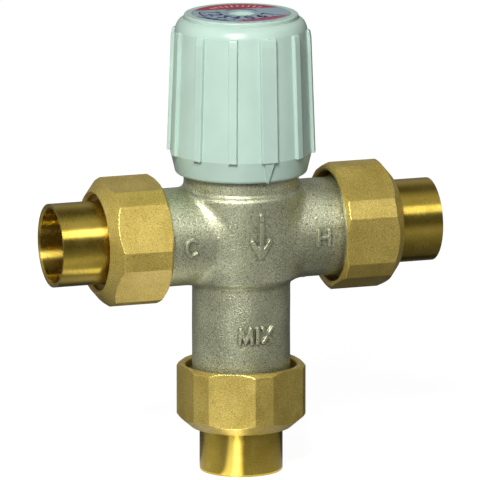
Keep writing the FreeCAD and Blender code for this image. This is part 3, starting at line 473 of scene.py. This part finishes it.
# Voids that the tools cut, as part.py has them
MECHANISM_VOID = [
    (0, -0.051), (PORT_BORE, -0.051), (PORT_BORE, -0.026), (0.008, -0.026), (0.008, -0.022),
    (0.009, -0.022), (0.009, -0.008), (0.0104, -0.008), (0.0104, -0.011), (0.0132, -0.011),
    (0.0132, -0.0045), (0.01055, -0.0045), (0.01055, 0.0045), (0.0132, 0.0045), (0.0132, 0.012),
    (0.014, 0.012), (0.014, 0.025), (0, 0.025),
]
ARM_BORE_END = 0.0165
cutters = [solid_turn(MECHANISM_VOID, 96, "Z")]
for side in (-1, 1):
    cutters.append(solid_cylinder(PORT_BORE, *sorted((side * ARM_BORE_END, side * (ARM_END + 0.001))), "X"))
for side, low, high in ((-1, 0.0047, 0.0095), (1, -0.0095, -0.0047)):
    box = bmesh.new()
    bmesh.ops.create_cube(box, size=1)
    for vertex in box.verts:
        vertex.co.x = side * (0.0055 + 0.006 * (vertex.co.x + 0.5) * 2)
        vertex.co.y *= 0.014
        vertex.co.z = AXIS_HEIGHT + (high if vertex.co.z > 0 else low)
    bmesh.ops.recalc_face_normals(box, faces=box.faces)
    mesh = bpy.data.meshes.new("passage")
    box.to_mesh(mesh)
    box.free()
    cutters.append(linked("passage", mesh))
for cutter in cutters:
    apply_modifier(casting, "BOOLEAN", operation="DIFFERENCE", object=cutter, solver="EXACT")
    bpy.data.objects.remove(cutter)
mesh = casting.data
mesh.materials.clear()
mesh.materials.append(forged_body)
mesh.polygons.foreach_set("use_smooth", [True] * len(mesh.polygons))
mesh.set_sharp_from_angle(angle=math.radians(35))
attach(casting, "valve")
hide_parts("valve_body")

# ------------------------------------------------------------------------------------------
# Union threads on the three stubs

def thread_sleeve(place_point, inner, root, crest, length, sides=120, rows=60):
    """Closed sleeve with a helical ridge; place_point maps (radius, turn, along) to a point."""
    points, faces = [], []
    for row in range(rows + 1):
        along = length * row / rows
        fade = min(1.0, along / (THREAD_PITCH * 0.6), (length - along) / (THREAD_PITCH * 0.45))
        for side in range(sides):
            turn = 2 * math.pi * side / sides
            phase = (along / THREAD_PITCH - turn / (2 * math.pi)) % 1
            ridge = max(0.0, min(1.0, (0.5 - abs(phase - 0.5)) * 2.9 - 0.35)) * fade
            points.append(place_point(root + (crest - root) * ridge, turn, along))
    for row in (rows, 0):
        for side in range(sides):
            points.append(place_point(inner, 2 * math.pi * side / sides, length * row / rows))
    rings = rows + 3
    for ring in range(rings):
        following = (ring + 1) % rings
        for side in range(sides):
            after = (side + 1) % sides
            faces.append((ring * sides + side, ring * sides + after, following * sides + after,
                          following * sides + side))
    return points, faces


def on_arm(side, start):
    return lambda radius, turn, along: (side * (start + along), radius * math.sin(turn) * side,
                                        AXIS_HEIGHT + radius * math.cos(turn))


def on_neck(radius, turn, along):
    return (radius * math.cos(turn), -radius * math.sin(turn), AXIS_HEIGHT - NECK_END + STUB_LENGTH - along)


STUBS = {"cold": on_arm(-1, ARM_END - STUB_LENGTH), "hot": on_arm(1, ARM_END - STUB_LENGTH),
         "mix": on_neck}
for port, spread_point in STUBS.items():
    points, faces = thread_sleeve(spread_point, THREAD_ROOT - 0.0004, THREAD_ROOT, THREAD_CREST,
                                  STUB_LENGTH - 0.0001)
    new_piece(port + "_stub_thread", points, faces, machined, "valve", "machined_brass")

# ------------------------------------------------------------------------------------------
# Return spring: round wire with closed end turns

SPRING_FOOT, SPRING_LENGTH = 0.0520, 0.0174
WIRE_RADIUS, COIL_RADIUS, COIL_TURNS, CLOSED_PITCH = 0.00065, 0.00645, 5, 0.00136


def spring_wire(steps=240, sides=14):
    """Points and faces of the coiled wire."""
    turn = np.linspace(0, COIL_TURNS, steps + 1)
    ends = np.clip((np.minimum(turn, COIL_TURNS - turn) - 0.7) / 0.4, 0, 1)
    opened = ends * ends * (3 - 2 * ends)
    climb = SPRING_LENGTH - 2 * WIRE_RADIUS - CLOSED_PITCH * COIL_TURNS
    rise = CLOSED_PITCH * turn + climb * np.cumsum(opened) / opened.sum()
    points, faces = [], []
    for index, (around, height) in enumerate(zip(turn * 2 * math.pi, rise)):
        outward = Vector((math.cos(around), math.sin(around), 0))
        before, after = max(index - 1, 0), min(index + 1, steps)
        slope = (rise[after] - rise[before]) / ((turn[after] - turn[before]) * 2 * math.pi * COIL_RADIUS)
        run = Vector((-math.sin(around), math.cos(around), slope)).normalized()
        middle = outward * COIL_RADIUS + Vector((0, 0, SPRING_FOOT + WIRE_RADIUS + height))
        across = run.cross(outward)
        for side in range(sides):
            swing = 2 * math.pi * side / sides
            points.append(middle + (outward * math.cos(swing) + across * math.sin(swing)) * WIRE_RADIUS)
    for ring in range(steps):
        for side in range(sides):
            nxt = (side + 1) % sides
            faces.append((ring * sides + side, (ring + 1) * sides + side, (ring + 1) * sides + nxt,
                          ring * sides + nxt))
    faces.append(list(range(sides)))
    faces.append([steps * sides + side for side in range(sides)][::-1])
    return points, faces


spring = new_piece("coil_spring", *spring_wire(), steel, "valve", "spring_steel")
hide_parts("return_spring")
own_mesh(spring)

# ------------------------------------------------------------------------------------------
# Raised marks of the forging

def stroke_distance(spots, strokes):
    """Distance of flat points to a set of straight strokes."""
    nearest = np.full(len(spots), 1.0)
    for start, end in strokes:
        start, end = np.array(start), np.array(end)
        run = end - start
        share = np.clip((spots - start) @ run / (run @ run), 0, 1)
        nearest = np.minimum(nearest, np.linalg.norm(spots - start - share[:, None] * run, axis=1))
    return nearest


def arc_strokes(centre, radius, first, last, count=14):
    turns = [math.radians(first + (last - first) * step / count) for step in range(count + 1)]
    spots = [(centre[0] + radius[0] * math.cos(turn), centre[1] + radius[1] * math.sin(turn))
             for turn in turns]
    return list(zip(spots, spots[1:]))


def path_strokes(*spots):
    return list(zip(spots, spots[1:]))


GLYPHS = {
    "C": arc_strokes((0, 0), (0.4, 0.5), 48, 312),
    "H": path_strokes((-0.36, -0.5), (-0.36, 0.5)) + path_strokes((0.36, -0.5), (0.36, 0.5))
         + path_strokes((-0.36, 0.02), (0.36, 0.02)),
    "M": path_strokes((-0.42, -0.5), (-0.34, 0.5), (0, -0.42), (0.34, 0.5), (0.42, -0.5)),
    "I": path_strokes((0, -0.5), (0, 0.5)),
    "X": path_strokes((-0.36, -0.5), (0.36, 0.5)) + path_strokes((-0.36, 0.5), (0.36, -0.5)),
    "arrow": path_strokes((0, 0.5), (0, -0.46)) + path_strokes((-0.22, -0.14), (0, -0.5), (0.22, -0.14)),
}


def raised_mark(name, glyphs, height, wrap, middle, stroke=0.0006, proud=0.0008, cell=0.00013):
    """Raised letters draped over the casting. glyphs are (letter, offset across); wrap maps
    flat (across, up) to a start point and outward direction about the inlet axis."""
    strokes = []
    for letter, offset in glyphs:
        for start, end in GLYPHS[letter]:
            strokes.append(tuple((spot[0] * height + offset, spot[1] * height) for spot in (start, end)))
    margin = stroke + 0.0007
    flat = np.array(strokes).reshape(-1, 2)
    low, high = flat.min(0) - margin, flat.max(0) + margin
    across = np.arange(low[0], high[0] + cell, cell)
    up = np.arange(low[1], high[1] + cell, cell)
    grid = np.array([(u, v) for v in up for u in across])
    away = stroke_distance(grid, strokes)
    flank = np.clip((stroke + 0.0002 - away) / 0.0004, 0, 1)
    rise = proud * flank * flank * (3 - 2 * flank) - 0.00006 * (flank == 0)
    start = np.array([wrap(middle[0] + u, middle[1] + v) for u, v in grid])
    skin, normal = settle(start, casting_distance, 5)
    top = skin + normal * rise[:, None]
    bottom = skin - normal * 0.0004
    keep = away < stroke + 0.0006
    wide = len(across)
    inside = keep.reshape(len(up), wide)
    points = np.concatenate([top, bottom]) + LIFT
    count = len(grid)
    faces = []
    cells = inside[:-1, :-1] & inside[1:, :-1] & inside[:-1, 1:] & inside[1:, 1:]
    for row, column in zip(*np.nonzero(cells)):
        a = row * wide + column
        b, c, d = a + 1, a + 1 + wide, a + wide
        faces.append((a, b, c, d))
        faces.append((d + count, c + count, b + count, a + count))
        for r, s, near, valve_shadow_by_reach in ((row - 1, column, a, b), (row, column + 1, b, c),
                                (row + 1, column, c, d), (row, column - 1, d, a)):
            outside = r < 0 or s < 0 or r >= cells.shape[0] or s >= cells.shape[1] or not cells[r, s]
            if outside:
                faces.append((near + count, valve_shadow_by_reach + count, valve_shadow_by_reach, near))
    work = bmesh.new()
    mesh = bpy.data.meshes.new(name)
    mesh.from_pydata(points.tolist(), [], faces)
    work.from_mesh(mesh)
    loose = [vertex for vertex in work.verts if not vertex.link_faces]
    bmesh.ops.delete(work, geom=loose, context="VERTS")
    bmesh.ops.recalc_face_normals(work, faces=work.faces)
    work.to_mesh(mesh)
    work.free()
    mesh.materials.append(forged_body)
    mesh.polygons.foreach_set("use_smooth", [True] * len(mesh.polygons))
    piece = linked(name, mesh)
    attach(piece, "valve")


def round_arm(across, up):
    turn = up / ARM_RADIUS
    return (across, -ARM_RADIUS * math.cos(turn), ARM_RADIUS * math.sin(turn))


def round_trunk(radius):
    return lambda across, up: (radius * math.sin(across / radius), -radius * math.cos(across / radius), up)


raised_mark("mark_cold", [("C", 0)], 0.0048, round_arm, (-0.0205, -0.0005))
raised_mark("mark_hot", [("H", 0)], 0.0046, round_arm, (0.0211, -0.0003))
raised_mark("mark_mix", [("M", -0.0036), ("I", -0.0001), ("X", 0.0032)], 0.0043, round_trunk(NECK_RADIUS),
            (0, -0.0288))
raised_mark("mark_flow", [("arrow", 0)], 0.0125, round_trunk(0.0181), (0, 0.0022), 0.0008)

# ------------------------------------------------------------------------------------------
# Dial: printed disc with raised numbers and marks

DIAL_TOP, DIAL_BOTTOM = 0.13926, 0.1388
INK_FOOT, INK_TOP = 0.1391, 0.13929


def dial_disc_corners():
    low, high = DIAL_BOTTOM - AXIS_HEIGHT, DIAL_TOP - AXIS_HEIGHT
    return [(DIAL_WELL, low), (DIAL_RADIUS, low), (DIAL_RADIUS, high - 0.0001), (DIAL_RADIUS - 0.0001, high),
            (DIAL_WELL + 0.0001, high), (DIAL_WELL, high - 0.0001)]


points, faces = lathe(dial_disc_corners(), 160)
label = new_piece("dial_label", points, faces, dial, "knob", "dial_print", smooth=False)
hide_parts("dial_disc")

DIGITS = {
    "1": [(-0.2, 0.3), (0.05, 0.5), (0.05, -0.5)],
    "2": [(-0.3, 0.3), (-0.1, 0.5), (0.15, 0.5), (0.3, 0.28), (0.25, 0.05), (-0.3, -0.5), (0.32, -0.5)],
    "3": [(-0.28, 0.5), (0.28, 0.5), (0.0, 0.1), (0.28, -0.1), (0.28, -0.35), (0.1, -0.5), (-0.3, -0.45)],
    "4": [(0.15, -0.5), (0.15, 0.5), (-0.32, -0.2), (0.34, -0.2)],
    "5": [(0.28, 0.5), (-0.25, 0.5), (-0.28, 0.05), (0.1, 0.1), (0.3, -0.15), (0.2, -0.45), (-0.28, -0.5)],
    "6": [(0.2, 0.5), (-0.15, 0.25), (-0.3, -0.15), (-0.15, -0.48), (0.15, -0.48), (0.3, -0.2), (0.1, 0.05),
          (-0.25, -0.1)],
    "7": [(-0.3, 0.5), (0.3, 0.5), (-0.05, -0.5)],
}


def ink_strokes(name, strokes, width, ink):
    """Flat raised print: each stroke of two dial points is a thin bar."""
    points, faces = [], []
    for start, end in strokes:
        run = (end - start).normalized()
        side = Vector((-run.y, run.x, 0)) * width / 2
        first = len(points)
        for height in (INK_FOOT, INK_TOP):
            for spot in (start - run * width / 2 - side, end + run * width / 2 - side,
                         end + run * width / 2 + side, start - run * width / 2 + side):
                points.append((spot.x, spot.y, height))
        for quad in ((3, 2, 1, 0), (4, 5, 6, 7), (0, 1, 5, 4), (1, 2, 6, 5), (2, 3, 7, 6), (3, 0, 4, 7)):
            faces.append([first + corner for corner in quad])
    return new_piece(name, points, faces, ink, "knob", "dial_print", smooth=False)


def ring_strokes(radius, first, last, count):
    spots = [dial_direction(first + (last - first) * step / count) * radius for step in range(count + 1)]
    return list(zip(spots, spots[1:]))


FIRST_DIGIT, DIGIT_STEP = 176, 28           # degrees round the dial
DIGIT_RING, DIGIT_HEIGHT = 0.0082, 0.0034
number_strokes = []
for index, digit in enumerate("1234567"):
    outward = dial_direction(FIRST_DIGIT + index * DIGIT_STEP)
    along = Vector((-outward.y, outward.x, 0))
    centre = outward * DIGIT_RING
    spots = [centre + along * x * DIGIT_HEIGHT - outward * y * DIGIT_HEIGHT for x, y in DIGITS[digit]]
    number_strokes += list(zip(spots, spots[1:]))
ink_strokes("dial_numbers", number_strokes, 0.0008, navy_ink)
scale_strokes = [(dial_direction(turn) * 0.0108, dial_direction(turn) * 0.0124)
                 for turn in range(FIRST_DIGIT, 352, DIGIT_STEP // 2)]
scale_strokes += ring_strokes(0.0058, 40, 140, 14) + ring_strokes(0.0124, FIRST_DIGIT, 214, 8)
ink_strokes("dial_scale", scale_strokes, 0.0005, navy_ink)
ink_strokes("dial_ticks", [(dial_direction(turn) * 0.0102, dial_direction(turn) * 0.0118)
                           for turn in range(60, 150, 9)], 0.0006, white_ink)

# ------------------------------------------------------------------------------------------
# Studio

STUDIO_RADIUS = 3.4


def rectangle(half_width, half_depth, height):
    """Corners of a level rectangle about the upright axis."""
    return [(-half_width, -half_depth, height), (half_width, -half_depth, height),
            (half_width, half_depth, height), (-half_width, half_depth, height)]


def stage_mesh(name, points, faces, material):
    """Mesh of the studio, which isn't part of the object."""
    mesh = bpy.data.meshes.new(name)
    mesh.from_pydata(points, [], faces)
    mesh.materials.append(material)
    card = linked(name, mesh)
    return card


def for_reflections(card):
    """Card that only mirrors and gloss see."""
    card.visible_camera = False
    card.visible_diffuse = False
    card.visible_shadow = False
    card.visible_transmission = False


def aim(thing, target):
    """Turns a lamp, card or camera so that its -Z looks at a point."""
    direction = Vector(target) - thing.location
    thing.rotation_euler = direction.to_track_quat("-Z", "Y").to_euler()


CENTRE = Vector((0, 0, AXIS_HEIGHT))


def around_object(azimuth, elevation, distance):
    """Point at a distance from the barrel, azimuth from the front toward the left, in degrees."""
    swing = math.radians(azimuth)
    lift = math.radians(elevation)
    back = Vector((-math.sin(swing) * math.cos(lift), -math.cos(swing) * math.cos(lift), math.sin(lift)))
    return CENTRE + back * distance


camera_data = bpy.data.cameras.new("camera")
camera = linked("camera", camera_data)
bpy.context.scene.camera = camera
camera.location = around_object(19.472, 11.806, 2.7708)
aim(camera, CENTRE)
camera_data.lens = 693.9
camera_data.sensor_width = 36
camera_data.shift_x = -0.00225
camera_data.shift_y = -0.0167
camera_data.clip_start = 0.1
camera_data.clip_end = 50


key_data = bpy.data.lights.new("key", "AREA")
key_data.shape = "SQUARE"
key_data.size = 0.28
key_data.energy = 7.8
key = linked("key", key_data)
key.location = around_object(30, 36, 0.9)
aim(key, CENTRE)


def white_for_view(tree, darker, brighter):
    """Mix of two shaders: the second for what the camera, metal and glass see."""
    path = put(tree, "ShaderNodeLightPath")
    seen = maths(tree, "MAXIMUM", path.outputs["Is Camera Ray"], path.outputs["Is Glossy Ray"])
    seen = maths(tree, "MAXIMUM", seen, path.outputs["Is Transmission Ray"])
    return put(tree, "ShaderNodeMixShader", {0: seen, 1: darker, 2: brighter}).outputs[0]


world = bpy.data.worlds.new("studio")
bpy.context.scene.world = world
sky = empty_tree(world)
dim = put(sky, "ShaderNodeBackground", {"Color": (1, 1, 1, 1), "Strength": 0.24}).outputs[0]
white = put(sky, "ShaderNodeBackground", {"Color": (1, 1, 1, 1), "Strength": 1.0}).outputs[0]
put(sky, "ShaderNodeOutputWorld", {"Surface": white_for_view(sky, dim, white)})

floor_material = bpy.data.materials.new("floor")
ground = empty_tree(floor_material)
matte = put(ground, "ShaderNodeBsdfDiffuse", {"Color": (0.22, 0.22, 0.22, 1)}).outputs[0]
glow = put(ground, "ShaderNodeEmission", {"Color": (1, 1, 1, 1), "Strength": 0.93}).outputs[0]
lit = put(ground, "ShaderNodeAddShader", {0: matte, 1: glow}).outputs[0]
under = put(ground, "ShaderNodeNewGeometry").outputs["Backfacing"]
clear = put(ground, "ShaderNodeBsdfTransparent").outputs[0]
top = white_for_view(ground, matte, lit)
put(ground, "ShaderNodeOutputMaterial",
    {"Surface": put(ground, "ShaderNodeMixShader", {0: under, 1: top, 2: clear}).outputs[0]})
stage_mesh("floor", rectangle(4, 4, 0), [(0, 1, 2, 3)], floor_material)


def studio_dome(radius=STUDIO_RADIUS, rows=24, sides=48):
    """Walls and ceiling of the dim studio round the set."""
    points, faces = [], []
    for row in range(rows + 1):
        lift = math.pi / 2 * row / rows
        for side in range(sides):
            turn = 2 * math.pi * side / sides
            points.append((radius * math.cos(lift) * math.cos(turn),
                           radius * math.cos(lift) * math.sin(turn), radius * math.sin(lift)))
    for row in range(rows):
        for side in range(sides):
            after = (side + 1) % sides
            faces.append((row * sides + side, row * sides + after, (row + 1) * sides + after,
                          (row + 1) * sides + side))
    return points, faces


def glowing(name):
    """Emissive material of a reflected card, its tree and its strength's socket."""
    material = bpy.data.materials.new(name)
    tree = empty_tree(material)
    lamp = put(tree, "ShaderNodeEmission", {"Strength": 1.0})
    put(tree, "ShaderNodeOutputMaterial", {"Surface": lamp.outputs[0]})
    return material, tree, lamp.inputs["Strength"]


def bearing(tree, spots):
    """Bearing round the object as a share of a turn: 0.5 in front, more toward the left."""
    left = maths(tree, "MULTIPLY", spots["X"], -1.0)
    ahead = maths(tree, "MULTIPLY", spots["Y"], -1.0)
    turn = maths(tree, "ARCTAN2", left, ahead)
    return maths(tree, "ADD", maths(tree, "DIVIDE", turn, 2 * math.pi), 0.5)


def by_bearing(tree, spots, stops):
    """Grey by bearing, from stops of (degrees from the front toward the left, grey)."""
    return ramp(tree, bearing(tree, spots), [((turn + 180) / 360, grey) for turn, grey in stops])


dome_material, dusk, dome_glow = glowing("studio_dome")
spot = put(dusk, "ShaderNodeSeparateXYZ", {0: place(dusk)}).outputs
height = maths(dusk, "DIVIDE", spot["Z"], STUDIO_RADIUS)
depth = maths(dusk, "MULTIPLY_ADD", maths(dusk, "DIVIDE", spot["Y"], STUDIO_RADIUS), 0.5, 0.5)
front = ramp(dusk, height, [(0.0, 0.12), (0.42, 0.14), (0.72, 0.42), (0.93, 0.5), (1.0, 0.04)], smooth=True)
rear = ramp(dusk, height, [(0.0, 0.5), (0.4, 0.4), (0.7, 0.3), (0.9, 0.07), (1.0, 0.1)], smooth=True)
above = mixed(dusk, ramp(dusk, depth, [(0.45, 0.0), (0.62, 1.0)], smooth=True), front, rear)
DOME_BEARINGS = [(-180, 0.2), (-125, 0.2), (-117, 0.06), (-105, 0.06), (-98, 0.2), (-60, 0.16), (-35, 0.08),
                 (60, 0.12), (78, 0.4), (83, 0.75), (128, 0.75), (134, 0.25), (180, 0.2)]
around = by_bearing(dusk, spot, DOME_BEARINGS)
shade = mixed(dusk, ramp(dusk, height, [(0.3, 0.0), (0.6, 1.0)], smooth=True), around, above)
dusk.links.new(shade, dome_glow)
for_reflections(stage_mesh("studio_dome", *studio_dome(), dome_material))

panel_material, _, panel_glow = glowing("soft_panel")
panel_glow.default_value = 1.6
panel = stage_mesh("soft_panel", rectangle(0.19, 0.17, 0), [(0, 1, 2, 3)], panel_material)
panel.location = around_object(-19.5, 37, 1.0)
aim(panel, CENTRE)
for_reflections(panel)

apron_material, _, apron_glow = glowing("dark_apron")
apron_glow.default_value = 0.13
APRON_OUTLINE = [(0.036, -0.267), (-0.9, 0.66), (-STUDIO_RADIUS, 0.66), (-STUDIO_RADIUS, -STUDIO_RADIUS),
                 (STUDIO_RADIUS, -STUDIO_RADIUS)]
APRON = [(x, y, 0.001) for x, y in APRON_OUTLINE]
for_reflections(stage_mesh("dark_apron", APRON, [(0, 1, 2, 3, 4)], apron_material))

# Reflection-only card of painted sheen on the table: a bright wedge toward the key lamp and a narrow painted
# highlight streak close to the outlet.
table_material, sheet, table_glow = glowing("table_sheen")
spot = put(sheet, "ShaderNodeSeparateXYZ", {0: place(sheet)}).outputs
TABLE_BEARINGS = [(-180, 0.03), (-125, 0.03), (-117, 0.015), (-105, 0.015), (-98, 0.06), (-60, 0.08), (0, 0.09),
                  (14, 0.09), (20, 0.46), (46, 0.46), (52, 0.09), (78, 0.09), (83, 0.12), (128, 0.12),
                  (134, 0.04), (180, 0.04)]
around = by_bearing(sheet, spot, TABLE_BEARINGS)
reach = from_axis(sheet, place(sheet))
# Painted shadow of the valve: the sheen is dimmed in a ring close round it.
valve_shadow_by_reach = ramp(sheet, reach, [(0.03, 0.9), (0.05, 0.2), (0.08, 0.22), (0.12, 0.5), (0.2, 0.7)])
around = maths(sheet, "MULTIPLY", around, valve_shadow_by_reach)
streak = by_bearing(sheet, spot, [(23, 0.0), (26, 0.55), (32, 0.55), (35, 0.0)])
near = ramp(sheet, reach, [(0.042, 1.0), (0.055, 0.0)])
around = maths(sheet, "ADD", around, maths(sheet, "MULTIPLY", streak, near))
sheet.links.new(maths(sheet, "MULTIPLY", around, 5.5), table_glow)
table = rectangle(STUDIO_RADIUS, STUDIO_RADIUS, 0.0006)
for_reflections(stage_mesh("table_sheen", table, [(0, 1, 2, 3)], table_material))

bpy.context.scene.view_settings.view_transform = "Standard"
